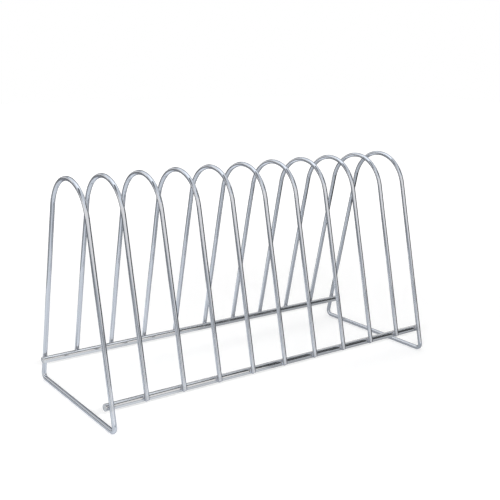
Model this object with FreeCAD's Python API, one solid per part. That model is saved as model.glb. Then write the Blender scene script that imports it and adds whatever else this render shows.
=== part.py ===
import FreeCAD, Part
import math
import os

# A welded wire display stand with an open slot between each two hoops. Two rails carry the row
# of upside-down U hoops, and the two outermost hoops run on below the rails and close in a foot
# bar. X runs along the rails, from the left end to the right end, Y runs from the front rail to
# the rear rail, and Z is up. The origin is on the floor, under the middle hoop. Lengths are in
# millimetres.

# The whole stand
stand_height = 195.0        # floor to the top of the hoops
leg_spacing = 134.0         # front leg to rear leg, centre to centre at the rails' height
rail_height = 21.5          # floor to the rails' centre lines

# The row of hoops
inner_hoop_count = 9
hoop_pitch = 35.0           # centre to centre
end_gap = 31.0              # from the last inner hoop to the end frame, centre to centre

# Hoop wire
wire_diameter = 4.0
arch_radius = 34.5          # of the wire's centre line
leg_end_length = 1.8        # of an inner hoop's leg, below the middle of its weld
leg_end_chamfer = 0.3

# Rails
rail_diameter = 6.0
rail_end_length = 4.5       # past the end frame's centre line
rail_end_chamfer = 0.5

# End frames
foot_bend_radius = 4.5      # of the wire's centre line
butt_weld_length = 1.0      # of the weld that closes the wire into a loop

# Crossed-wire welds
weld_set_down = 0.4         # how deep the wire and the rail are pressed into each other
weld_bead_margin = 0.8      # how far the bead reaches past the pressed spot

# Worked out from the sizes above
wire_radius = wire_diameter / 2
rail_radius = rail_diameter / 2
half_spacing = leg_spacing / 2
apex_z = stand_height - wire_radius
arch_centre_z = apex_z - arch_radius

# Each leg is a straight line tangent to the arch, through the point at half_spacing and
# rail_height, so its lean follows from the two.
arch_centre_drop = arch_centre_z - rail_height
arch_centre_distance = math.hypot(half_spacing, arch_centre_drop)
leg_lean = math.atan2(half_spacing, arch_centre_drop) - math.asin(arch_radius / arch_centre_distance)

# The wire touches the rail on the leg's inner side. contact_distance lies between the two
# centre lines, square to the leg.
contact_distance = wire_radius + rail_radius - weld_set_down
rail_y = half_spacing - contact_distance / math.cos(leg_lean)
weld_y = rail_y + rail_radius * math.cos(leg_lean)
weld_z = rail_height + rail_radius * math.sin(leg_lean)
pressed_half_length = math.sqrt(rail_radius ** 2 - (rail_radius - weld_set_down) ** 2)
weld_bead_radius = pressed_half_length + weld_bead_margin

first_hoop_x = -hoop_pitch * (inner_hoop_count - 1) / 2
inner_hoop_xs = [first_hoop_x + hoop_pitch * number for number in range(inner_hoop_count)]
left_frame_x = inner_hoop_xs[0] - end_gap
right_frame_x = inner_hoop_xs[-1] + end_gap
upright_xs = [left_frame_x] + inner_hoop_xs + [right_frame_x]

same_place_share = 0.001    # of a radius: how close two measures of one circle come

FRONT = -1
REAR = 1
X_AXIS = FreeCAD.Vector(1, 0, 0)
Y_AXIS = FreeCAD.Vector(0, 1, 0)


def on_leg(x, side, z):
    """The point of a leg's centre line at height z."""
    y = half_spacing - (z - rail_height) * math.tan(leg_lean)
    return FreeCAD.Vector(x, side * y, z)


def down_leg(side):
    """The direction of a leg towards its foot."""
    return FreeCAD.Vector(0, side * math.sin(leg_lean), -math.cos(leg_lean))


def legs_crossing(x):
    """The point high above the stand where the two legs' centre lines would meet."""
    return FreeCAD.Vector(x, 0, rail_height + half_spacing / math.tan(leg_lean))


def leg_end(x, side):
    """The middle of an inner hoop's cut end, measured down the leg from beside its weld."""
    beside_weld_z = weld_z + (wire_radius - weld_set_down) * math.sin(leg_lean)
    return on_leg(x, side, beside_weld_z) + down_leg(side) * leg_end_length


def straight_run(start, end):
    """A straight piece of round wire."""
    return Part.makeCylinder(wire_radius, start.distanceToPoint(end), start, end - start)


def tangent_bend(start, direction, centre, turn):
    """A disc square to the wire at start, turned about the bend's centre."""
    disc = Part.Face(Part.Wire(Part.makeCircle(wire_radius, start, direction)))
    axis = (start - centre).cross(direction)
    return disc.revolve(centre, axis, math.degrees(turn))


def bent_wire(corners, bend_radii):
    """A round wire along straight runs between corners, with a tangent arc at each inner one."""
    pieces = []
    start = corners[0]
    for before, corner, after, radius in zip(corners, corners[1:], corners[2:], bend_radii):
        towards = (before - corner).normalize()
        onwards = (after - corner).normalize()
        half_angle = towards.getAngle(onwards) / 2
        tangent_length = radius / math.tan(half_angle)
        bend_start = corner + towards * tangent_length
        bend_centre = corner + (towards + onwards).normalize() * (radius / math.sin(half_angle))
        pieces.append(straight_run(start, bend_start))
        pieces.append(tangent_bend(bend_start, -towards, bend_centre, math.pi - 2 * half_angle))
        start = corner + onwards * tangent_length
    pieces.append(straight_run(start, corners[-1]))
    return pieces[0].fuse(pieces[1:])


def circular_edges_at(shape, point, radius):
    """The edges of a round end, found by their centre and radius."""
    tolerance = radius * same_place_share
    circles = [edge for edge in shape.Edges if isinstance(edge.Curve, Part.Circle)]
    centred = [edge for edge in circles if edge.Curve.Center.distanceToPoint(point) < tolerance]
    return [edge for edge in centred if abs(edge.Curve.Radius - radius) < tolerance]


def make_rail(side):
    """A straight rod with its two ends chamfered."""
    start = FreeCAD.Vector(left_frame_x - rail_end_length, side * rail_y, rail_height)
    length = right_frame_x - left_frame_x + 2 * rail_end_length
    rod = Part.makeCylinder(rail_radius, length, start, X_AXIS)
    rims = circular_edges_at(rod, start, rail_radius)
    rims += circular_edges_at(rod, start + X_AXIS * length, rail_radius)
    return rod.makeChamfer(rail_end_chamfer, rims)


def make_inner_hoop(x):
    """A U hoop with cut ends, still without the hollows that its welds press in."""
    corners = [leg_end(x, FRONT), legs_crossing(x), leg_end(x, REAR)]
    wire = bent_wire(corners, [arch_radius])
    rims = circular_edges_at(wire, corners[0], wire_radius)
    rims += circular_edges_at(wire, corners[-1], wire_radius)
    return wire.makeChamfer(leg_end_chamfer, rims)


def make_end_frame(x):
    """A hoop that goes on below the rails, with its two ends meeting in the foot bar."""
    front_foot = on_leg(x, FRONT, wire_radius)
    rear_foot = on_leg(x, REAR, wire_radius)
    half_weld = Y_AXIS * (butt_weld_length / 2)
    foot_middle = FreeCAD.Vector(x, 0, wire_radius)
    corners = [foot_middle - half_weld, front_foot, legs_crossing(x), rear_foot, foot_middle + half_weld]
    return bent_wire(corners, [foot_bend_radius, arch_radius, foot_bend_radius])


def make_butt_weld(x):
    """The weld that joins the two ends of an end frame's wire, ground flush with it."""
    start = FreeCAD.Vector(x, -butt_weld_length / 2, wire_radius)
    return Part.makeCylinder(wire_radius, butt_weld_length, start, Y_AXIS)


def make_weld_beads(side, uprights, rail):
    """The metal squeezed out round each crossing, in the gap between the wire and the rail."""
    beads = []
    for x, upright in zip(upright_xs, uprights):
        ball = Part.makeSphere(weld_bead_radius, FreeCAD.Vector(x, side * weld_y, weld_z))
        beads.append(ball.cut(upright).cut(rail))
    return Part.makeCompound(beads)


def write(node, shape):
    """One STEP file for each node, with its volume and box printed."""
    shape.exportStep(f"parts/{node}.step")
    box = shape.BoundBox
    print(f"{node}: {len(shape.Solids)} solid(s), valid {shape.isValid()}, {shape.Volume:.1f} mm3,"
          f" {box.XLength:.1f} x {box.YLength:.1f} x {box.ZLength:.1f} mm")


front_rail = make_rail(FRONT)
rear_rail = make_rail(REAR)
left_end_frame = make_end_frame(left_frame_x).cut([front_rail, rear_rail])
right_end_frame = make_end_frame(right_frame_x).cut([front_rail, rear_rail])
inner_hoops = [make_inner_hoop(x).cut([front_rail, rear_rail]) for x in inner_hoop_xs]
uprights = [left_end_frame] + inner_hoops + [right_end_frame]

os.makedirs("parts", exist_ok=True)
print(f"leg lean {math.degrees(leg_lean):.2f} degrees, rails {2 * rail_y:.1f} mm apart,"
      f" slots {hoop_pitch - wire_diameter:.1f} mm wide")
write("front_rail", front_rail)
write("rear_rail", rear_rail)
write("left_end_frame", left_end_frame)
write("right_end_frame", right_end_frame)
for number, hoop in enumerate(inner_hoops, start=1):
    write(f"hoop_{number}", hoop)
write("front_rail_welds", make_weld_beads(FRONT, uprights, front_rail))
write("rear_rail_welds", make_weld_beads(REAR, uprights, rear_rail))
write("foot_bar_butt_welds", Part.makeCompound([make_butt_weld(left_frame_x), make_butt_weld(right_frame_x)]))
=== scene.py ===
# %% [markdown]
# A chrome plated wire stand, dressed for the camera.
#
# The real stand is bent from two sizes of drawn steel, welded where the bars cross, and chrome
# plated as one piece. The measured model already holds every bar at its true size and place.
# This lesson adds what shows up close: smooth round wire, soft weld beads, and a mirror finish
# that is never quite perfect. It starts by loading the measured model, because each dressed
# piece is laid exactly where that model says.

# %% Load the measured model
import math
from collections import namedtuple

import bmesh
import bpy
import numpy as np
from mathutils import Matrix, Vector, noise


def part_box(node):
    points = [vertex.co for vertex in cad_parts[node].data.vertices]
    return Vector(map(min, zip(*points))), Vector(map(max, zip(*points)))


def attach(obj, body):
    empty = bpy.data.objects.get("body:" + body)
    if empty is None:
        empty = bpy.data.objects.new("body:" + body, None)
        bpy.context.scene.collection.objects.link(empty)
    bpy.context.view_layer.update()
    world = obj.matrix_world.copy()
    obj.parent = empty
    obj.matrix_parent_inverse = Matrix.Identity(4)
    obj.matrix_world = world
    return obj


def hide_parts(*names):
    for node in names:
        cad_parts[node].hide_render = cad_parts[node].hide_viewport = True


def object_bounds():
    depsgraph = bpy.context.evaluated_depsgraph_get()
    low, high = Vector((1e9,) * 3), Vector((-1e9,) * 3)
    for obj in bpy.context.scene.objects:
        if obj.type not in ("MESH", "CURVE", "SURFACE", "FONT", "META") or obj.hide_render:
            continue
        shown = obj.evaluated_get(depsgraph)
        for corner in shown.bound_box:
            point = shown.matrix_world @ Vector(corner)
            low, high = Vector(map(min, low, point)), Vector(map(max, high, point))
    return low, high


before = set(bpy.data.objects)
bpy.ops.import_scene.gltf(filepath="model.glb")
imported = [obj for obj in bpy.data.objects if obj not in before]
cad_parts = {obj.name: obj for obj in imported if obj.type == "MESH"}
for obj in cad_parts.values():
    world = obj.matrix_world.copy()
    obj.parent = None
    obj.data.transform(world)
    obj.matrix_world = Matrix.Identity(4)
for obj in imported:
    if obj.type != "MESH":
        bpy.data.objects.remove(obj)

MM = 0.001
measured_low, measured_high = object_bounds()
print("measured size in mm:", [round(side / MM, 1) for side in measured_high - measured_low])

# %% [markdown]
# The camera stands in front of the left end, a little above the stand, and looks down on it.
#
# A camera could be aimed by eye, but the wires are thin, and half a degree already shifts them
# against each other. So its place, its three angles and its focal length were worked out from
# the spots where legs and rails cross in the photograph, and they are typed as numbers here.

# %% Camera
camera_place = Vector((-0.4360, -0.6138, 0.2910))
camera_yaw = 0.9444         # radians, from +X towards +Y
camera_dip = 0.2325         # radians below level
camera_roll = 0.0107
focal_pixels = 829.5
frame_pixels = 500
sensor_width = 36.0         # millimetres

forward = Vector((
    math.cos(camera_yaw) * math.cos(camera_dip),
    math.sin(camera_yaw) * math.cos(camera_dip),
    -math.sin(camera_dip),
))
level_right = Vector((math.sin(camera_yaw), -math.cos(camera_yaw), 0))
level_up = level_right.cross(forward)
right = level_right * math.cos(camera_roll) + level_up * math.sin(camera_roll)
up = level_up * math.cos(camera_roll) - level_right * math.sin(camera_roll)

camera_data = bpy.data.cameras.new("camera")
camera_data.sensor_width = sensor_width
camera_data.lens = focal_pixels / frame_pixels * sensor_width
camera = bpy.data.objects.new("camera", camera_data)
camera.matrix_world = Matrix((right, up, -forward)).transposed().to_4x4()
camera.location = camera_place
bpy.context.scene.collection.objects.link(camera)
bpy.context.scene.camera = camera
bpy.context.scene.view_settings.view_transform = "Standard"
print(f"lens {camera_data.lens:.2f} mm")

# %% [markdown]
# Shader maths as plain Python.
#
# A finish is a sum of small effects: a tint, draw lines, a dull ring beside each weld. Each
# could be wired by hand from Math nodes, but then the formula is lost in the wiring. A small
# class that wraps an output socket lets the formula be written down as it is thought of, and
# adds the nodes itself.


# %% A socket that can be reckoned with
class Socket:
    """An output socket of a node tree, with operators that add Math nodes."""

    def __init__(self, tree, output=None):
        self.tree = tree
        self.output = output

    def node(self, kind, settings=None, inputs=None, take=0):
        """A node of any kind: settings first, then its inputs, and the output that is taken."""
        made = self.tree.nodes.new(kind)
        for name, value in (settings or {}).items():
            setattr(made, name, value)
        for name, value in (inputs or {}).items():
            if isinstance(value, Socket):
                self.tree.links.new(value.output, made.inputs[name])
            else:
                made.inputs[name].default_value = value
        return Socket(self.tree, made.outputs[take] if made.outputs else None)

    def beside(self, name):
        """Another output of the same node."""
        return Socket(self.tree, self.output.node.outputs[name])

    def maths(self, operation, *values):
        """A Math node on sockets and numbers."""
        return self.node("ShaderNodeMath", {"operation": operation}, dict(enumerate(values)))

    def __add__(self, other):
        return self.maths("ADD", self, other)

    def __radd__(self, other):
        return self.maths("ADD", other, self)

    def __sub__(self, other):
        return self.maths("SUBTRACT", self, other)

    def __rsub__(self, other):
        return self.maths("SUBTRACT", other, self)

    def __mul__(self, other):
        return self.maths("MULTIPLY", self, other)

    def __rmul__(self, other):
        return self.maths("MULTIPLY", other, self)

    def __abs__(self):
        return self.maths("ABSOLUTE", self)

    def larger(self, other):
        return self.maths("MAXIMUM", self, other)

    def smaller(self, other):
        return self.maths("MINIMUM", self, other)


print("reflected operators:", [name for name in vars(Socket) if name.startswith("__r")])

# %% [markdown]
# White all round, and a floor that keeps a faint shadow.
#
# Chrome has hardly any colour of its own: it shows the studio. So the studio comes first. A
# white room could be built from walls, but a white world is simpler, and the camera and the
# chrome then see the same white. As a light the world is turned down, because lamps add the
# rest. The floor glows a little for those same looks, so that it is white without more light.
# It glows less close to the stand, where the lamps reach it and their shadows have to show.

# %% World and floor
world_light = 0.65
floor_half_width = 4.0
floor_colour = (0.82, 0.82, 0.82, 1)
glow_near = 0.23
glow_far = 0.50
glow_grows = (0.25, 1.0)    # metres from the stand's middle
white = (1, 1, 1, 1)


def empty_tree(block):
    """The cleared node tree of a material or a world, as a Socket to build from."""
    block.use_nodes = True
    block.node_tree.nodes.clear()
    return Socket(block.node_tree)


def looked_at(tree):
    """1 where the camera or a mirror or glass looks, and 0 for the light that falls on things."""
    camera_looks = tree.node("ShaderNodeLightPath", take="Is Camera Ray")
    mirror_looks = camera_looks.beside("Is Glossy Ray")
    glass_looks = camera_looks.beside("Is Transmission Ray")
    return camera_looks.larger(mirror_looks).larger(glass_looks)


world = bpy.data.worlds.new("white_room")
bpy.context.scene.world = world
room = empty_tree(world)
looked = looked_at(room)
room_strength = looked + (1 - looked) * world_light
room_light = room.node("ShaderNodeBackground", inputs={"Color": white, "Strength": room_strength})
room.node("ShaderNodeOutputWorld", inputs={"Surface": room_light})


def mesh_object(name, points, faces):
    """An object in the scene, made from points and faces."""
    mesh = bpy.data.meshes.new(name)
    mesh.from_pydata(points, [], faces)
    made = bpy.data.objects.new(name, mesh)
    bpy.context.scene.collection.objects.link(made)
    return made


def floor_finish():
    """A pale floor that also glows for the camera and the chrome, more so far from the stand."""
    material = bpy.data.materials.new("pale_floor")
    tree = empty_tree(material)
    lit = tree.node("ShaderNodeBsdfDiffuse", inputs={"Color": floor_colour})
    place = tree.node("ShaderNodeTexCoord", take="Object")
    away = place.node("ShaderNodeVectorMath", {"operation": "LENGTH"}, {0: place}, take="Value")
    limits = {
        "Value": away,
        "From Min": glow_grows[0],
        "From Max": glow_grows[1],
        "To Min": glow_near,
        "To Max": glow_far,
    }
    strength = away.node("ShaderNodeMapRange", {"interpolation_type": "SMOOTHSTEP"}, limits)
    glow = tree.node("ShaderNodeEmission", inputs={"Strength": looked_at(tree) * strength})
    both = tree.node("ShaderNodeAddShader", inputs={0: lit, 1: glow})
    tree.node("ShaderNodeOutputMaterial", inputs={"Surface": both})
    return material


corner_signs = [(-1, -1), (1, -1), (1, 1), (-1, 1)]
floor_corners = [(x * floor_half_width, y * floor_half_width, 0) for x, y in corner_signs]
floor = mesh_object("floor", floor_corners, [(0, 1, 2, 3)])
floor.data.materials.append(floor_finish())
print("floor", floor.dimensions[:2], "m")

# %% [markdown]
# Two lamps.
#
# In the photograph a soft grey band runs along the underside of each rail, and nothing lies
# beside the legs. A tube just above the lens, parallel to the rails, does just that: a rail's
# shadow falls behind it and peeps out a little lower, and a leg's is spread too wide to be seen.
# A large soft lamp overhead fills in the rest. Neither the camera nor the chrome sees them:
# mirrored in the rails they would be hard white lines, and the white room already gives the
# chrome its lights. The tube's light doesn't fade with distance, so the floor stays evenly white.

# %% Lamps
overhead_power = 1.0
overhead_size = (0.9, 0.9)      # metres
overhead_place = Vector((0.20, 0.30, 0.85))
tube_power = 10.0
tube_size = (0.6, 0.02)
tube_above_lens = 25 * MM
tube_place = camera_place + Vector((0, 0, tube_above_lens))


def area_lamp(name, place, power, size):
    """A lamp that is level along X and leans towards the stand. No camera or mirror sees it."""
    data = bpy.data.lights.new(name, "AREA")
    data.energy = power
    data.shape = "RECTANGLE"
    data.size, data.size_y = size
    lamp = bpy.data.objects.new(name, data)
    backwards = Vector((0, place.y, place.z)).normalized()
    sideways = Vector((1, 0, 0))
    lamp.matrix_world = Matrix((sideways, backwards.cross(sideways), backwards)).transposed().to_4x4()
    lamp.location = place
    lamp.visible_camera = False
    lamp.visible_glossy = False
    bpy.context.scene.collection.objects.link(lamp)
    return data


area_lamp("overhead_lamp", overhead_place, overhead_power, overhead_size)
tube_tree = empty_tree(area_lamp("tube_lamp", tube_place, tube_power, tube_size))
steady = tube_tree.node("ShaderNodeLightFalloff", inputs={"Strength": 1.0}, take="Constant")
tube_shine = tube_tree.node("ShaderNodeEmission", inputs={"Strength": steady})
tube_tree.node("ShaderNodeOutputLight", inputs={"Surface": tube_shine})
print("tube lamp at", [round(part, 3) for part in tube_place], "m")

# %% [markdown]
# Cards that only the chrome sees.
#
# In an all-white room a chrome wire nearly vanishes. Photographers stand grey and dark cards
# round the set, out of the picture, and each wire then mirrors them as thin lines along its
# edges. The cards here are upright strips on a wide circle, and sheets on the floor and
# overhead. They are hidden from the camera and cast no shadow, so they shape the reflections
# and nothing else.

# %% A card
card_step = 5               # degrees between two points of a curved edge
card_tint = (0.94, 1.00, 1.07)


def card(name, pairs, tone):
    """A glowing bluish strip through pairs of points, that nothing but a mirror can see."""
    points = [point for pair in pairs for point in pair]
    faces = [(2 * k, 2 * k + 2, 2 * k + 3, 2 * k + 1) for k in range(len(pairs) - 1)]
    made = mesh_object(name, points, faces)
    material = bpy.data.materials.new(name)
    tree = empty_tree(material)
    colour = (*[tone * share for share in card_tint], 1)
    shine = tree.node("ShaderNodeEmission", inputs={"Color": colour})
    tree.node("ShaderNodeOutputMaterial", inputs={"Surface": shine})
    made.data.materials.append(material)
    made.visible_camera = False
    made.visible_diffuse = False
    made.visible_shadow = False
    made.visible_transmission = False


def headings(start, end):
    """Cosine and sine of evenly spaced directions, from one azimuth in degrees to another."""
    count = math.ceil((end - start) / card_step)
    angles = [math.radians(start + (end - start) * number / count) for number in range(count + 1)]
    return [(math.cos(angle), math.sin(angle)) for angle in angles]


print("steps in a quarter circle:", len(headings(0, 90)) - 1)

# %% [markdown]
# The upright cards.
#
# Each card was placed by asking which way a wire's dark line looks. The dark one on the right
# draws the right edge of every front leg, and the narrow line on the camera's side splits the
# light in the middle of a leg. A slit behind the stand gives the crowns their thin black line.

# %% Upright cards
card_distance = 1.2
in_front = 0.98             # of that distance, for a line in front of another card
card_lift = 0.05            # metres above the floor
low_card = 0.28
tall_card = 0.90
light_grey = 0.62           # tones, where white is 1
mid_grey = 0.40
dim = 0.18
dark = 0.09
black = 0.02


def wall_card(name, start, end, bottom, top, tone, distance=card_distance):
    """An upright strip between two azimuths in degrees and two heights in metres."""
    pairs = []
    for x, y in headings(start, end):
        pairs.append([(x * distance, y * distance, bottom), (x * distance, y * distance, top)])
    card(name, pairs, tone)


wall_card("card_near", -165, -95, card_lift, low_card, light_grey)
wall_card("card_near_line", -165, -74, 0.15, 0.20, mid_grey, card_distance * in_front)
wall_card("card_right", -58, -14, 0.0, tall_card, dark)
wall_card("card_right_low", -14, 62, 0.0, low_card, dim)
wall_card("card_slit", 62, 77, 0.0, tall_card, black)
wall_card("card_behind_low", 77, 122, card_lift, low_card, dim)
wall_card("card_behind_high", 77, 122, 0.60, tall_card, light_grey)
wall_card("card_corner", 122, 137, 0.0, low_card, dark)
wall_card("card_left_foot", 137, 167, 0.0, 0.10, dark)
wall_card("card_left_high", 137, 167, 0.40, tall_card, mid_grey)
wall_card("card_left_low", 167, 197, 0.0, 0.15, dim)

# %% [markdown]
# Sheets on the floor and overhead.
#
# The lower half of every bar mirrors the floor. A white floor on all sides would make it one
# flat tone, so the floor is darker where the legs, the rails and the foot bars need an edge.
# Overhead hangs a softbox, a sheet that glows brighter than white with no lamp behind it, which
# gives the front shoulders of the hoops their white streak. The dim wedge beside it draws the
# short dark mark below that streak, and the black strip a little lower draws the thin dark line
# along each rail.

# %% Sheets
sheet_height = 0.1 * MM
ceiling_height = 0.9
strip_height = 0.88
softbox_reach = 0.45            # metres from the stand's middle
strip_near = 0.60
strip_far = 1.10
rim_gap = 0.04                  # metres outside the stand's outline, where sheets begin and end
near_gap = 0.10
wide_gap = 0.20
white_until = -0.10             # metres along the stand, where the sheets below it meet
pale_until = 0.0
softbox = 1.40                  # a tone brighter than white: the sheet glows by itself, with no lamp behind it
bright = 1.10
white_paper = 0.93
pale = 0.78
half_pale = 0.50
nearly_zero = 0.001


def outside_stand(direction, gap):
    """The point on the floor in a direction, at a gap outside the stand's outline."""
    x, y = direction
    to_end = (measured_high.x + gap) / max(abs(x), nearly_zero)
    to_side = (measured_high.y + gap) / max(abs(y), nearly_zero)
    reach = min(to_end, to_side)
    return (x * reach, y * reach, sheet_height)


def floor_sheet(name, start, end, gap, far_gap, tone):
    """A sheet on the floor between two azimuths and two gaps outside the stand."""
    pairs = [[outside_stand(way, gap), outside_stand(way, far_gap)] for way in headings(start, end)]
    card(name, pairs, tone)


def under_sheet(name, left, right, tone):
    """A sheet below the stand, from one place along it to another."""
    deep = measured_high.y + rim_gap
    card(name, [[(x, -deep, sheet_height), (x, deep, sheet_height)] for x in (left, right)], tone)


under_end = measured_high.x + rim_gap
under_sheet("sheet_under_end", -under_end, -measured_high.x, pale)
under_sheet("sheet_under_left", -measured_high.x, white_until, white_paper)
under_sheet("sheet_under_middle", white_until, pale_until, pale)
under_sheet("sheet_under_right", pale_until, under_end, half_pale)
floor_sheet("sheet_rim_front", -141, -51, rim_gap, near_gap, mid_grey)
floor_sheet("sheet_rim_right", -51, 69, rim_gap, near_gap, pale)
floor_sheet("sheet_near", -141, -51, near_gap, wide_gap, light_grey)
floor_sheet("sheet_front", -141, -51, wide_gap, card_distance, bright)
floor_sheet("sheet_right", -51, 69, near_gap, card_distance, black)
floor_sheet("sheet_behind", 69, 141, rim_gap, wide_gap, bright)
floor_sheet("sheet_left_near", 141, 219, rim_gap, wide_gap, white_paper)
floor_sheet("sheet_left", 69, 219, wide_gap, card_distance, mid_grey)


def overhead_sheet(name, start, end, near, far, height, tone):
    """A level sheet above the stand between two azimuths and two distances from its middle."""
    ways = headings(start, end)
    card(name, [[(x * near, y * near, height), (x * far, y * far, height)] for x, y in ways], tone)


overhead_sheet("sheet_softbox", -15, 165, 0.0, softbox_reach, ceiling_height, softbox)
overhead_sheet("sheet_over_front", -165, -15, 0.0, softbox_reach, ceiling_height, pale)
overhead_sheet("sheet_over_left", 165, 195, 0.0, card_distance, ceiling_height, dim)
overhead_sheet("sheet_over_right", -15, 75, softbox_reach, card_distance, ceiling_height, light_grey)
overhead_sheet("sheet_over_behind", 75, 165, softbox_reach, card_distance, ceiling_height, bright)
overhead_sheet("sheet_over_near", -165, -15, softbox_reach, card_distance, ceiling_height, white_paper)
overhead_sheet("sheet_strip", -75, -15, strip_near, strip_far, strip_height, black)

# %% [markdown]
# The stand's own sizes.
#
# Most places can be read from the measured model: each rail's centre line, and how far along
# it every upright stands. What a box doesn't tell, or not exactly, is written down again: the
# radii of the bars and their bends, and how deep a weld presses two bars into each other.

# %% Sizes, read from the model where it shows them
wire_radius = 2.0 * MM
rail_radius = 3.0 * MM
arch_radius = 34.5 * MM         # of the wire's centre line
leg_spacing = 134.0 * MM        # centre to centre at the rails' height
leg_end_length = 1.8 * MM       # below the weld
foot_bend_radius = 4.5 * MM
butt_weld_length = 1.0 * MM
weld_set_down = 0.4 * MM
FRONT = -1
REAR = 1

rail_low, rail_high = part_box("rear_rail")
rail_y = (rail_low.y + rail_high.y) / 2
rail_z = (rail_low.z + rail_high.z) / 2
inner_hoops = [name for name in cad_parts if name.startswith("hoop_")]
inner_hoops.sort(key=lambda name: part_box(name)[0].x)
end_frames = ["left_end_frame", "right_end_frame"]


def middle_x(node):
    """How far along the rails the middle of a node is."""
    low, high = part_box(node)
    return (low.x + high.x) / 2


upright_x = {node: middle_x(node) for node in inner_hoops + end_frames}
half_spacing = leg_spacing / 2
apex_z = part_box("left_end_frame")[1].z - wire_radius
arch_centre_z = apex_z - arch_radius
arch_drop = arch_centre_z - rail_z
to_arch_centre = math.hypot(half_spacing, arch_drop)
leg_lean = math.atan2(half_spacing, arch_drop) - math.asin(arch_radius / to_arch_centre)
weld_y = rail_y + rail_radius * math.cos(leg_lean)
weld_z = rail_z + rail_radius * math.sin(leg_lean)
print(f"rails {2 * rail_y / MM:.2f} mm apart, legs lean {math.degrees(leg_lean):.2f} degrees")
print("uprights at", [round(x / MM, 1) for x in upright_x.values()])

# %% [markdown]
# How the wire runs.
#
# A hoop is one piece of wire: straight, round, straight. A curve object with a bevel could
# draw it, but its rings can't be put closer together where they matter, beside the welds and
# in the tight foot bends. So the run is worked out as a list of rings, each with its place,
# its direction, how much the bend flattens it, and its share of the full radius.

# %% Rings along straight runs and bends
Ring = namedtuple("Ring", "place direction flatness share")
long_step = 2.5 * MM
short_step = 0.5 * MM
near_rail = 5.0 * MM
bend_flattening_share = 0.15        # of the wire's radius over the bend's radius
bend_step = {"wide": 1.5 * MM, "tight": 0.35 * MM}
tight_bend_limit = 10 * MM


def round_ring(place, direction, share=1.0):
    """A ring that no bend flattens."""
    return Ring(place, direction, 0.0, share)


def on_leg(x, side, z):
    """The point of a leg's centre line at height z."""
    return Vector((x, side * (half_spacing - (z - rail_z) * math.tan(leg_lean)), z))


def straight_run(start, end):
    """Rings along a straight stretch, closer together beside a rail."""
    direction = (end - start).normalized()
    length = (end - start).length
    rings = []
    travelled = 0.0
    while travelled < length:
        place = start + direction * travelled
        rings.append(round_ring(place, direction))
        beside_rail = math.hypot(abs(place.y) - weld_y, place.z - weld_z) < near_rail
        travelled += short_step if beside_rail else long_step
    return rings


def bend(start, direction, centre, turn):
    """Rings round a tangent arc. The wire is flattest in the middle of the bend."""
    arm = start - centre
    size = "tight" if arm.length < tight_bend_limit else "wide"
    count = math.ceil(arm.length * turn / bend_step[size])
    rings = []
    for number in range(count):
        done = number / count
        angle = turn * done
        place = centre + arm * math.cos(angle) + direction * (arm.length * math.sin(angle))
        heading = direction * math.cos(angle) - arm.normalized() * math.sin(angle)
        # 4 * done * (1 - done) is 0 at both ends of the bend and 1 in its middle.
        flatness = bend_flattening_share * wire_radius / arm.length * 4 * done * (1 - done)
        rings.append(Ring(place, heading, flatness, 1.0))
    return rings


def bent_run(corners, bend_radii):
    """Straight runs between corners, with a tangent arc at each inner corner."""
    rings = []
    start = corners[0]
    for before, corner, after, radius in zip(corners, corners[1:], corners[2:], bend_radii):
        towards = (before - corner).normalized()
        onwards = (after - corner).normalized()
        half_angle = towards.angle(onwards) / 2
        tangent_length = radius / math.tan(half_angle)
        bend_start = corner + towards * tangent_length
        centre = corner + (towards + onwards).normalized() * (radius / math.sin(half_angle))
        rings += straight_run(start, bend_start)
        rings += bend(bend_start, -towards, centre, math.pi - 2 * half_angle)
        start = corner + onwards * tangent_length
    rings += straight_run(start, corners[-1])
    rings.append(round_ring(corners[-1], rings[-1].direction))
    return rings


sample = straight_run(on_leg(0, FRONT, weld_z), on_leg(0, FRONT, arch_centre_z))
print("rings on one leg:", len(sample))

# %% [markdown]
# Cut ends.
#
# An inner hoop stops just below its rail, where the wire was sheared off. Plating dulls that
# edge into a small round. A bevel modifier could round it, but a few more rings that draw in
# along a quarter circle do the same, and stay part of the list. The face inside that edge is
# closed by rings too, so that it can be made uneven later.

# %% Rings that close an end
end_rounding_steps = 4
face_ring_shares = (0.84, 0.64, 0.42, 0.20)     # of the rounded edge's radius
support_gap = 0.08 * MM         # between a ring at an end and the one that holds its shading


def rounded_end(place, direction, outward, radius, rounding):
    """Rings from the full radius to the middle of the end face. outward is 1 or -1."""
    rings = [round_ring(place - direction * (outward * (rounding + support_gap)), direction)]
    for step in range(end_rounding_steps + 1):
        angle = math.pi / 2 * step / end_rounding_steps
        inset = rounding * (1 - math.sin(angle))
        share = 1 - rounding / radius * (1 - math.cos(angle))
        rings.append(round_ring(place - direction * (outward * inset), direction, share))
    edge_share = rings[-1].share
    rings += [round_ring(place, direction, edge_share * share) for share in face_ring_shares]
    return rings


def closed_seam(rings):
    """The rings with one more close to each end, so that smooth shading stops at the seam."""
    first = rings[0]
    last = rings[-1]
    after_first = first._replace(place=first.place + first.direction * support_gap)
    before_last = last._replace(place=last.place - last.direction * support_gap)
    return [first, after_first, *rings[1:-1], before_last, last]


print("rings that round a cut end and close its face:", end_rounding_steps + 1, len(face_ring_shares))

# %% [markdown]
# A tube from rings, with a memory of the straight wire.
#
# Each ring becomes a circle of points, and neighbouring circles are joined by faces. Every
# point also remembers where it was on the wire before bending: how far along, and how far
# across. Draw lines made from those numbers follow every bend, as they do on real wire, which
# was drawn first and bent later.

# %% From rings to a mesh
sides_round = {wire_radius: 32, rail_radius: 44}


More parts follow.
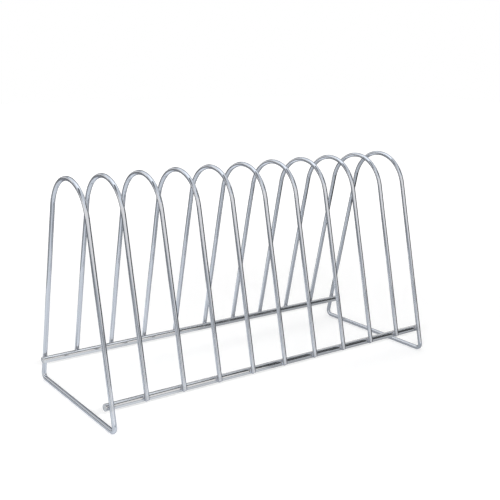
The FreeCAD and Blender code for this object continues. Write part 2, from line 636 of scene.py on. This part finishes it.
def tube_faces(ring_count, count):
    """Faces between neighbouring circles of points, and a fan round the middle of each end."""
    start_middle = ring_count * count
    last = start_middle - count
    faces = []
    for side in range(count):
        onwards = (side + 1) % count
        faces.append((start_middle, onwards, side))
        faces.append((start_middle + 1, last + side, last + onwards))
        for first in range(0, last, count):
            faces.append((first + side, first + onwards, first + count + onwards, first + count + side))
    return faces


def tube(name, rings, radius, flat_side):
    """A closed tube. flat_side is square to every ring's direction."""
    count = sides_round[radius]
    angles = np.arange(count) * 2 * math.pi / count
    points = []
    straight = []
    along = 0.0
    for number, ring in enumerate(rings):
        over = ring.direction.cross(flat_side)
        wide = radius * ring.share * (1 + ring.flatness / 2)
        thin = radius * ring.share * (1 - ring.flatness)
        across = np.outer(np.cos(angles) * wide, flat_side) + np.outer(np.sin(angles) * thin, over)
        points.append(np.array(ring.place) + across)
        if number:
            along += (ring.place - rings[number - 1].place).length
        circle = np.stack([np.full(count, along), np.cos(angles) * wide, np.sin(angles) * thin], 1)
        straight.append(circle)
    points = np.concatenate([*points, [rings[0].place], [rings[-1].place]])
    straight = np.concatenate([*straight, [(0, 0, 0)], [(along, 0, 0)]])
    return wire_object(name, points, tube_faces(len(rings), count), straight)


def wire_object(name, points, faces, straight):
    """A smooth mesh object whose points remember their place on the straight wire."""
    made = mesh_object(name, [tuple(point) for point in points], faces)
    memory = made.data.attributes.new("straight", "FLOAT_VECTOR", "POINT")
    memory.data.foreach_set("vector", np.asarray(straight, np.float32).ravel())
    made.data.shade_smooth()
    return made


print("points in one circle:", sides_round)

# %% [markdown]
# Sheared faces, and a place in the model.
#
# Shears press and tear steel as much as they cut it, so a cut face is uneven. Twenty-two such
# faces could be sculpted by hand, but a smooth noise presses them all in at once. The rim is
# left alone, so that a bar keeps its length. A finished piece then rides with the stand, and
# the node of the measured model that it stands for is hidden.

# %% Shear a face, and dress a node
shear_depth = 0.30 * MM
shear_patch = 1.3 * MM          # the size of its lumps
same_plane = 0.01 * MM
inside_rim = 0.8                # of the bar's radius


def sheared(piece, place, outward, radius):
    """An end face pressed in unevenly, as the shear left it. Its rim stays where it is."""
    for point in piece.data.vertices:
        away = point.co - place
        if abs(away.dot(outward)) < same_plane and away.length < radius * inside_rim:
            lump = noise.noise(point.co / shear_patch)
            point.co -= outward * (shear_depth * (1 + lump) / 2)
    return piece


def dress(piece, node, finish):
    """The piece stands for a measured node, rides with the stand and takes its finish."""
    piece.data.materials.append(finish)
    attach(piece, "root")
    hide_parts(node)
    return piece


print("deepest dent in a cut face in mm:", round(shear_depth / MM, 2))

# %% [markdown]
# Small masks for the finishes.
#
# Each finish needs the same few things: patches of noise, soft edges between two values, and
# a colour between two others. They are short functions on sockets.

# %% Helpers for the finishes
coarse = 2.0                    # detail of a noise
fine = 3.0
mix_low = 6                     # the sockets for colours among those of a Mix node
mix_high = 7
mix_result = 2


def clouds(where, size=1.0, detail=coarse):
    """Noise from 0 to 1 in patches of about this size."""
    return where.node("ShaderNodeTexNoise", inputs={"Vector": where, "Scale": 1 / size, "Detail": detail})


def stretched(where, factors):
    """A place multiplied by a factor for each direction."""
    return where.node("ShaderNodeVectorMath", {"operation": "MULTIPLY"}, {0: where, 1: factors})


def ramp(value, start, end):
    """0 up to start and 1 from end on. It falls instead where start is larger than end."""
    limits = {"Value": value, "From Min": min(start, end), "From Max": max(start, end)}
    soft = value.node("ShaderNodeMapRange", {"interpolation_type": "SMOOTHSTEP"}, limits)
    return soft if start < end else 1 - soft


def colour_between(share, low, high):
    """A colour: low where share is 0, high where it is 1."""
    ends = [end if isinstance(end, Socket) else (*end, 1) for end in (low, high)]
    inputs = {0: share, mix_low: ends[0], mix_high: ends[1]}
    return share.node("ShaderNodeMix", {"data_type": "RGBA"}, inputs, take=mix_result)


def split(where):
    """The three numbers of a vector."""
    x = where.node("ShaderNodeSeparateXYZ", inputs={"Vector": where})
    return x, x.beside("Y"), x.beside("Z")


def distance(a, b):
    """The length of a step of a one way and b square to it."""
    return a.maths("SQRT", a * a + b * b)


def plated(colour, roughness, height_mm, edge):
    """Closes a chrome material. edge is how much it mirrors where it is seen nearly edge on."""
    bump = colour.node("ShaderNodeBump", inputs={"Height": height_mm, "Distance": MM})
    metal = {"Base Color": colour, "Roughness": roughness, "Normal": bump, "Metallic": 1.0}
    metal["Specular Tint"] = edge
    surface = colour.node("ShaderNodeBsdfPrincipled", inputs=metal)
    colour.node("ShaderNodeOutputMaterial", inputs={"Surface": surface})


print("helpers for finishes:", [made.__name__ for made in (clouds, ramp, split, distance, plated)])

# %% [markdown]
# What every chrome bar shares.
#
# Bright chrome over drawn steel is a little blue, less so on the thicker rods, and not evenly
# thick. Seen nearly edge on, it mirrors less on the wire than on the rods. Fine lines run along
# the bar from the drawing die, the steel under the plating is never quite smooth, and a few
# tiny pits stay open. A picture of scratches could be wrapped round a bar, but noise in the
# straight bar's own numbers has no seam and no end.

# %% Chrome on a drawn bar
Bar = namedtuple("Bar", "thinly thickly edge radius")   # colours where plated so, and edge on
hoop_bar = Bar((0.641, 0.650, 0.679), (0.696, 0.706, 0.738), (0.45, 0.45, 0.47, 1), wire_radius)
rail_bar = Bar((0.657, 0.650, 0.648), (0.714, 0.706, 0.704), (0.80, 0.80, 0.80, 1), rail_radius)
# Painted shade: the darker, warmer colour round each weld, where the legs meet the rails.
weld_shade_colour = (0.540, 0.535, 0.540)
pit_colour = (0.22, 0.21, 0.21)
torn_colour = (0.27, 0.27, 0.28)
torn_patch = 2.2 * MM
torn_edge = (0.44, 0.66)
on_end_face = (0.86, 0.76)      # of the radius: only on an end face is the bar's middle this close
plating_patch = 14 * MM
ripple_size = 5 * MM
draw_line_length = 30 * MM
draw_line_width = 0.12 * MM
pit_spacing = 2.2 * MM
pit_size = (0.09, 0.00)         # of the spacing: from its rim to its deepest point
pit_chance = (0.80, 0.85)       # only cells with a random number above this have one
polished = 0.020                # roughness of the best plating, and what each flaw adds
patch_blur = 0.03
line_blur = 0.02
weld_zone_blur = 0.16
scuff_blur = 0.12
pit_blur = 0.30
torn_blur = 0.25
line_height = 0.0006            # surface heights in millimetres
ripple_height = 0.004
scuff_depth = 0.0008
pit_depth = 0.02
print("chrome where thin:", hoop_bar.thinly, rail_bar.thinly)


# %% Flaws of a bar, and its whole finish
def begin_finish(name):
    """A new material, and the place on the stand as its first socket."""
    material = bpy.data.materials.new(name)
    tree = empty_tree(material)
    return material, tree.node("ShaderNodeTexCoord", take="Object")


def pits(place):
    """A few tiny pits in the plating."""
    cell = place.node("ShaderNodeTexVoronoi", inputs={"Vector": place, "Scale": 1 / pit_spacing})
    chance = split(cell.beside("Color"))[0]
    return ramp(cell, *pit_size) * ramp(chance, *pit_chance)


def torn(place, straight, radius):
    """Dark patches on the cut ends, where the shear tore the steel and little plating took."""
    along, across, over = split(straight)
    on_face = ramp(distance(across, over), *[radius * share for share in on_end_face])
    return on_face * ramp(clouds(place, torn_patch), *torn_edge)


def chrome_bar(place, bar, weld_dull_and_shade, scuffs):
    """The finish of a bar, from masks of where it is darkened with painted shade and dulled beside the
    welds, and where it is rubbed.
    """
    straight = place.node("ShaderNodeAttribute", {"attribute_name": "straight"}, take="Vector")
    dark_ends = torn(place, straight, bar.radius)
    narrow = (1 / draw_line_length, 1 / draw_line_width, 1 / draw_line_width)
    lines = clouds(stretched(straight, narrow), detail=fine)
    patches = clouds(place, plating_patch, fine)
    ripples = clouds(place, ripple_size)
    specks = pits(place)
    colour = colour_between(patches, bar.thinly, bar.thickly)
    # Painted shade round each weld, where the bars meet.
    colour = colour_between(weld_dull_and_shade, colour, weld_shade_colour)
    colour = colour_between(dark_ends, colour, torn_colour)
    colour = colour_between(specks, colour, pit_colour)
    roughness = polished + patches * patch_blur + lines * line_blur + specks * pit_blur
    roughness = roughness + weld_dull_and_shade * weld_zone_blur + scuffs * scuff_blur + dark_ends * torn_blur
    height = lines * line_height + ripples * ripple_height
    height = height - scuffs * scuff_depth - specks * pit_depth
    plated(colour, roughness, height, bar.edge)


print("roughness, plain and in a pit:", polished, round(polished + pit_blur, 2))

# %% [markdown]
# The finish of the hoop wire.
#
# Beside each weld the wire is painted darker and a touch warmer, as painted shade where the
# bars meet, and its plating is made duller. Under the foot bars the plating is scuffed, because
# that is where the stand slides on a shelf. Both places are plain distances in the stand's own
# coordinates, so no mask has to be painted.

# %% Hoop wire finish
weld_zone_share = 0.7              # how far the painted shade takes the colour, and how far the plating is dulled
weld_zone_from = 2.3 * MM          # from the weld's middle
weld_zone_to = 5.5 * MM
scuffed_below = (0.9 * MM, 0.3 * MM)    # above the floor: where scuffs begin, and are full
hairline_width = 0.10 * MM
hairline_length = 6 * MM
hairline_edge = (0.50, 0.62)


def hairlines(place, factors):
    """Fine scratches, longest where the factor is smallest."""
    return ramp(clouds(stretched(place, factors)), *hairline_edge)


def hoop_wire_finish():
    """Chrome that is dull and darkened with painted shade beside the welds, and scuffed under the foot
    bars.
    """
    material, place = begin_finish("chrome_hoop_wire")
    x, y, z = split(place)
    # Painted shade and duller plating round each weld.
    weld_dull_and_shade = ramp(distance(abs(y) - weld_y, z - weld_z), weld_zone_to, weld_zone_from) * weld_zone_share
    sideways = (1 / hairline_length, 1 / hairline_width, 1 / hairline_width)
    scuffs = hairlines(place, sideways) * ramp(z, *scuffed_below)
    chrome_bar(place, hoop_bar, weld_dull_and_shade, scuffs)
    return material


wire_finish = hoop_wire_finish()
print("hoop wire nodes:", len(wire_finish.node_tree.nodes))

# %% [markdown]
# The hoops.
#
# Nine hoops stand in a row. On the real stand no two are quite alike: each leans a hair to
# one side and its legs waver a little, which makes the mirrored lines swim. Here a smooth
# noise shifts each ring sideways, more towards the top and not at all beside the rails, so
# every weld stays where it was measured. There the rail is pressed a little into the leg, so
# points of the wire that would lie inside it are pushed out to its skin.

# %% No two hoops alike
hoop_lean = 0.35 * MM           # sideways, at the top
leg_waver = 0.10 * MM
waver_length = 45 * MM
waver_full_at = 0.25            # of the way from the rails to the crown
usual_noise = 0.5               # noise mostly stays between this and its opposite
off_lattice = 0.5               # noise is 0 at whole numbers, so it is read between them
lean_stride = 3.7               # in the noise, for each millimetre between two hoops
waver_stride = 5.1
side_by_side = Vector((1, 0, 0))
front_to_rear = Vector((0, 1, 0))


def settled(rings, seed):
    """The rings shifted a little sideways, as bending and welding leave them."""
    lean = noise.noise(Vector((seed * lean_stride, off_lattice, off_lattice))) * hoop_lean / usual_noise
    shifted = []
    for ring in rings:
        height = min(max((ring.place.z - rail_z) / (apex_z - rail_z), 0), 1)
        across = ring.place.y / waver_length
        upwards = ring.place.z / waver_length
        waver = noise.noise(Vector((across, upwards, seed * waver_stride))) * leg_waver / usual_noise
        aside = lean * height + waver * min(height / waver_full_at, 1)
        shifted.append(ring._replace(place=ring.place + side_by_side * aside))
    return shifted


print("usual lean of a crown in mm:", round(hoop_lean / MM, 2))


# %% Where a hoop meets its rails
def pressed_by_rails(wire):
    """Points of the wire that would lie inside a rail are pushed out to its surface."""
    for point in wire.data.vertices:
        side = math.copysign(1, point.co.y)
        away = Vector((0, point.co.y - side * rail_y, point.co.z - rail_z))
        if away.length < rail_radius:
            away = away.normalized() * rail_radius
            point.co.y = side * rail_y + away.y
            point.co.z = rail_z + away.z
    return wire


def legs_crossing(x):
    """The point high above the stand where the two legs' centre lines would meet."""
    return Vector((x, 0, rail_z + half_spacing / math.tan(leg_lean)))


def leg_end(x, side):
    """The middle of a cut end, measured down the leg from beside its weld."""
    down = Vector((0, side * math.sin(leg_lean), -math.cos(leg_lean)))
    beside_weld_z = weld_z + (wire_radius - weld_set_down) * math.sin(leg_lean)
    return on_leg(x, side, beside_weld_z) + down * leg_end_length


print("height of a cut end in mm:", round(leg_end(0, FRONT).z / MM, 2))

# %% Bend nine hoops
end_rounding = 0.3 * MM
end_clearance = 0.1 * MM        # between the rounding's rings and the next one


def clear_of(end, rings):
    """The rings that leave room for the rounding at an end."""
    return [ring for ring in rings if (ring.place - end.place).length > end_rounding + end_clearance]


def inner_hoop(node):
    """A hoop whose two legs stop below the rails, with both cut ends rounded and sheared."""
    x = upright_x[node]
    corners = [leg_end(x, FRONT), legs_crossing(x), leg_end(x, REAR)]
    rings = bent_run(corners, [arch_radius])
    first = rings[0]
    last = rings[-1]
    opening = rounded_end(first.place, first.direction, -1, wire_radius, end_rounding)[::-1]
    closing = rounded_end(last.place, last.direction, 1, wire_radius, end_rounding)
    inside = clear_of(first, clear_of(last, rings))
    rings = settled(opening + inside + closing, x / MM)
    wire = pressed_by_rails(tube(f"{node}_wire", rings, wire_radius, side_by_side))
    sheared(wire, first.place, -first.direction, wire_radius)
    return sheared(wire, last.place, last.direction, wire_radius)


for node in inner_hoops:
    dress(inner_hoop(node), node, wire_finish)

# %% [markdown]
# The end frames.
#
# The two outermost hoops go on below the rails, turn tightly at each foot, and meet in a butt
# weld under the middle. They are one wire bent to a loop, so they use the same rings, with a
# tight bend at each foot that flattens the wire a little.


# %% Bend two end frames
def end_frame(node):
    """A hoop that goes on below the rails, with its two ends meeting in the foot bar."""
    x = upright_x[node]
    half_weld = Vector((0, butt_weld_length / 2, 0))
    foot_middle = Vector((x, 0, wire_radius))
    feet = [on_leg(x, side, wire_radius) for side in (FRONT, REAR)]
    corners = [foot_middle - half_weld, feet[0], legs_crossing(x), feet[1], foot_middle + half_weld]
    rings = closed_seam(bent_run(corners, [foot_bend_radius, arch_radius, foot_bend_radius]))
    rings = settled(rings, x / MM)
    return pressed_by_rails(tube(f"{node}_wire", rings, wire_radius, side_by_side))


for node in end_frames:
    dress(end_frame(node), node, wire_finish)

# %% [markdown]
# The finish of the rails.
#
# The rails are the same chrome on a thicker rod. Whatever is put in the stand rests on them,
# between two hoops, and slides in and out there. So each slot has a band of faint hairlines
# on top of the rail. Hoops and slots repeat, so a remainder tells how far the nearest one is.

# %% Rail finish
rub_from = (8.5 * MM, 12.5 * MM)        # from the nearest upright
rub_on_top = (0.3, 0.9)                 # of the rail's radius, above its middle
hoop_pitch = upright_x[inner_hoops[1]] - upright_x[inner_hoops[0]]
last_hoop_x = upright_x[inner_hoops[-1]]
end_frame_x = upright_x["right_end_frame"]


def from_upright(x):
    """How far along a rail the nearest upright stands."""
    in_pitch = x.maths("FLOORED_MODULO", x, hoop_pitch)
    from_hoop = in_pitch.smaller(hoop_pitch - in_pitch).larger(abs(x) - last_hoop_x)
    return from_hoop.smaller(abs(abs(x) - end_frame_x))


def rail_finish():
    """Chrome that is dull and darkened with painted shade beside the welds, and rubbed on its top in each
    slot.
    """
    material, place = begin_finish("chrome_rail_rod")
    x, y, z = split(place)
    beside = from_upright(x)
    # Painted shade and duller plating round each weld on the rail.
    weld_dull_and_shade = ramp(distance(beside, distance(abs(y) - weld_y, z - weld_z)), weld_zone_to, weld_zone_from)
    across = (1 / hairline_width, 1 / hairline_length, 1 / hairline_length)
    on_top = ramp(z, *[rail_z + rail_radius * share for share in rub_on_top])
    scuffs = hairlines(place, across) * ramp(beside, *rub_from) * on_top
    chrome_bar(place, rail_bar, weld_dull_and_shade * weld_zone_share, scuffs)
    return material


rod_finish = rail_finish()
print("rail nodes:", len(rod_finish.node_tree.nodes))

# %% [markdown]
# The rails.
#
# Each rail is a straight rod with a small bevel at its ends. A cylinder primitive would do
# for its body, but the same rings give it a rounded bevel and the memory of its length.

# %% Cut two rails
rail_bevel = 0.5 * MM
rail_step = 5.0 * MM


def rail(node):
    """A straight rod with rounded, sheared ends."""
    low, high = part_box(node)
    y = (low.y + high.y) / 2
    start = Vector((low.x, y, rail_z))
    end = Vector((high.x, y, rail_z))
    opening = rounded_end(start, side_by_side, -1, rail_radius, rail_bevel)[::-1]
    closing = rounded_end(end, side_by_side, 1, rail_radius, rail_bevel)
    count = math.ceil((end - start).length / rail_step)
    inside = [round_ring(start.lerp(end, number / count), side_by_side) for number in range(1, count)]
    rod = tube(f"{node}_rod", opening + inside + closing, rail_radius, front_to_rear)
    sheared(rod, start, -side_by_side, rail_radius)
    return sheared(rod, end, side_by_side, rail_radius)


for node in ("front_rail", "rear_rail"):
    dress(rail(node), node, rod_finish)

# %% [markdown]
# The finish of the welds.
#
# A weld bead is plated with the rest, but its skin is slightly rough and wavy, so it looks a
# little darker and softer than the bars. It gets higher ripples, a fine grain and more blur.

# %% Weld finish
weld_dark = (0.46, 0.47, 0.51)
weld_bright = (0.62, 0.63, 0.68)
weld_patch = 2.0 * MM
weld_grain = 0.35 * MM
weld_polish = 0.14
weld_patch_blur = 0.10
grain_blur = 0.08
weld_patch_height = 0.02        # in millimetres
grain_height = 0.006


def weld_finish():
    """Chrome on weld metal."""
    material, place = begin_finish("chrome_weld_metal")
    patches = clouds(place, weld_patch, fine)
    grain = clouds(place, weld_grain)
    specks = pits(place)
    colour = colour_between(patches, weld_dark, weld_bright)
    colour = colour_between(specks, colour, pit_colour)
    roughness = weld_polish + patches * weld_patch_blur + grain * grain_blur + specks * pit_blur
    height = patches * weld_patch_height + grain * grain_height - specks * pit_depth
    plated(colour, roughness, height, hoop_bar.edge)
    return material


bead_finish = weld_finish()
print("weld nodes:", len(bead_finish.node_tree.nodes))

# %% [markdown]
# The weld beads.
#
# Where a leg crosses a rail, the two bars are pressed together hot, and metal squeezes out
# into the gap on all four sides. Its skin runs smoothly into both bars. A ball at the crossing
# could stand for it, but a smooth union of two cylinders has just that fillet. From the
# contact point, each direction is followed outwards until it leaves the union, and the bead
# is drawn in beyond a certain reach, so that it sinks into the bars.

# %% The skin of two joined bars
bead_detail = 4                 # of the ball whose directions are followed


def ball_directions():
    """Unit directions and faces of a finely divided ball."""
    ball = bmesh.new()
    bmesh.ops.create_icosphere(ball, subdivisions=bead_detail, radius=1.0)
    directions = np.array([vertex.co[:] for vertex in ball.verts])
    faces = [tuple(vertex.index for vertex in face.verts) for face in ball.faces]
    ball.free()
    return directions, faces


def outside_bar(points, on_axis, axis, radius):
    """How far points are from a round bar's surface, less than zero inside it."""
    away = points - on_axis
    along = away @ axis
    return np.linalg.norm(away - along[:, None] * axis, axis=1) - radius


def smooth_union(a, b, fillet):
    """The smaller of two distances, eased where they are nearly equal."""
    overlap = np.maximum(fillet - np.abs(a - b), 0) / fillet
    return np.minimum(a, b) - overlap ** 2 * fillet / 4


print("directions from a contact point:", len(ball_directions()[0]))

# %% Grow a bead round each crossing
bead_fillet = 2.0 * MM
bead_reach = 2.1 * MM
bead_draw_in = 0.30             # how steeply it sinks beyond its reach
bead_limit = 2.8 * MM
bead_unevenness = 0.35
bead_lumps = 1.6                # how many lumps across a bead, roughly
far_apart = 7.0                 # in the noise, between the front and the rear row
march_steps = 56


def bead_points(x, side, directions):
    """Points on a bead's skin, one in each direction from the contact point."""
    contact = np.array((x, side * weld_y, weld_z))
    leg_axis = np.array((0, side * math.sin(leg_lean), -math.cos(leg_lean)))
    beside = np.array(on_leg(x, side, rail_z))
    rail_axis = np.array(side_by_side)
    rail_middle = np.array((x, side * rail_y, rail_z))
    own_part = Vector((x / MM, side * far_apart, 0))
    lumps = [noise.noise(Vector(direction) * bead_lumps + own_part) for direction in directions]
    reach = bead_reach * (1 + bead_unevenness * np.array(lumps))
    skin = np.full(len(directions), bead_limit)
    found = np.zeros(len(directions), bool)
    before = None
    for step in range(1, march_steps + 1):
        travelled = bead_limit * step / march_steps
        points = contact + directions * travelled
        leg_gap = outside_bar(points, beside, leg_axis, wire_radius)
        rail_gap = outside_bar(points, rail_middle, rail_axis, rail_radius)
        outside = smooth_union(leg_gap, rail_gap, bead_fillet) + bead_draw_in * (travelled - reach)
        crossed = ~found & (outside > 0)
        if before is not None:
            share = before / np.where(crossed, before - outside, 1)
            skin[crossed] = travelled + (share[crossed] - 1) * bead_limit / march_steps
        found |= crossed
        before = outside
    return contact + directions * skin[:, None]


def weld_beads(node, side):
    """The beads of one rail in one object, one at each upright."""
    directions, ball_faces = ball_directions()
    points = []
    faces = []
    for x in upright_x.values():
        first = len(directions) * len(points)
        faces += [tuple(first + corner for corner in face) for face in ball_faces]
        points.append(bead_points(x, side, directions))
    made = mesh_object(f"{node}_beads", [tuple(point) for point in np.concatenate(points)], faces)
    made.data.shade_smooth()
    return made


for node, side in (("front_rail_welds", FRONT), ("rear_rail_welds", REAR)):
    dress(weld_beads(node, side), node, bead_finish)

# %% [markdown]
# The butt welds in the foot bars.
#
# Each end frame's wire closes on itself under the stand, and the seam is ground nearly flush.
# A short ring of the same wire, a few hundredths proud at its middle, is enough, and it stays
# off the floor.

# %% Close the foot bars
seam_rings = 8
seam_rise_share = 0.02          # of the wire's radius


def butt_seam(x):
    """Rings across the seam. It rises a little towards its middle."""
    rings = []
    for number in range(seam_rings + 1):
        done = number / seam_rings
        place = Vector((x, (done - 0.5) * butt_weld_length, wire_radius))
        rings.append(round_ring(place, front_to_rear, 1 + seam_rise_share * math.sin(math.pi * done)))
    return tube("seam", rings, wire_radius, side_by_side)


def foot_bar_seams():
    """Both seams in one object, with nothing of them below the floor."""
    joined = bmesh.new()
    for node in end_frames:
        seam = butt_seam(upright_x[node])
        joined.from_mesh(seam.data)
        bpy.data.objects.remove(seam)
    for point in joined.verts:
        point.co.z = max(point.co.z, 0)
    made = mesh_object("foot_bar_seams", [], [])
    joined.to_mesh(made.data)
    joined.free()
    return made


foot_seams = foot_bar_seams()
dress(foot_seams, "foot_bar_butt_welds", bead_finish)
print("seam faces:", len(foot_seams.data.polygons))

# %% [markdown]
# The end.
#
# Dressing must not make the stand larger.
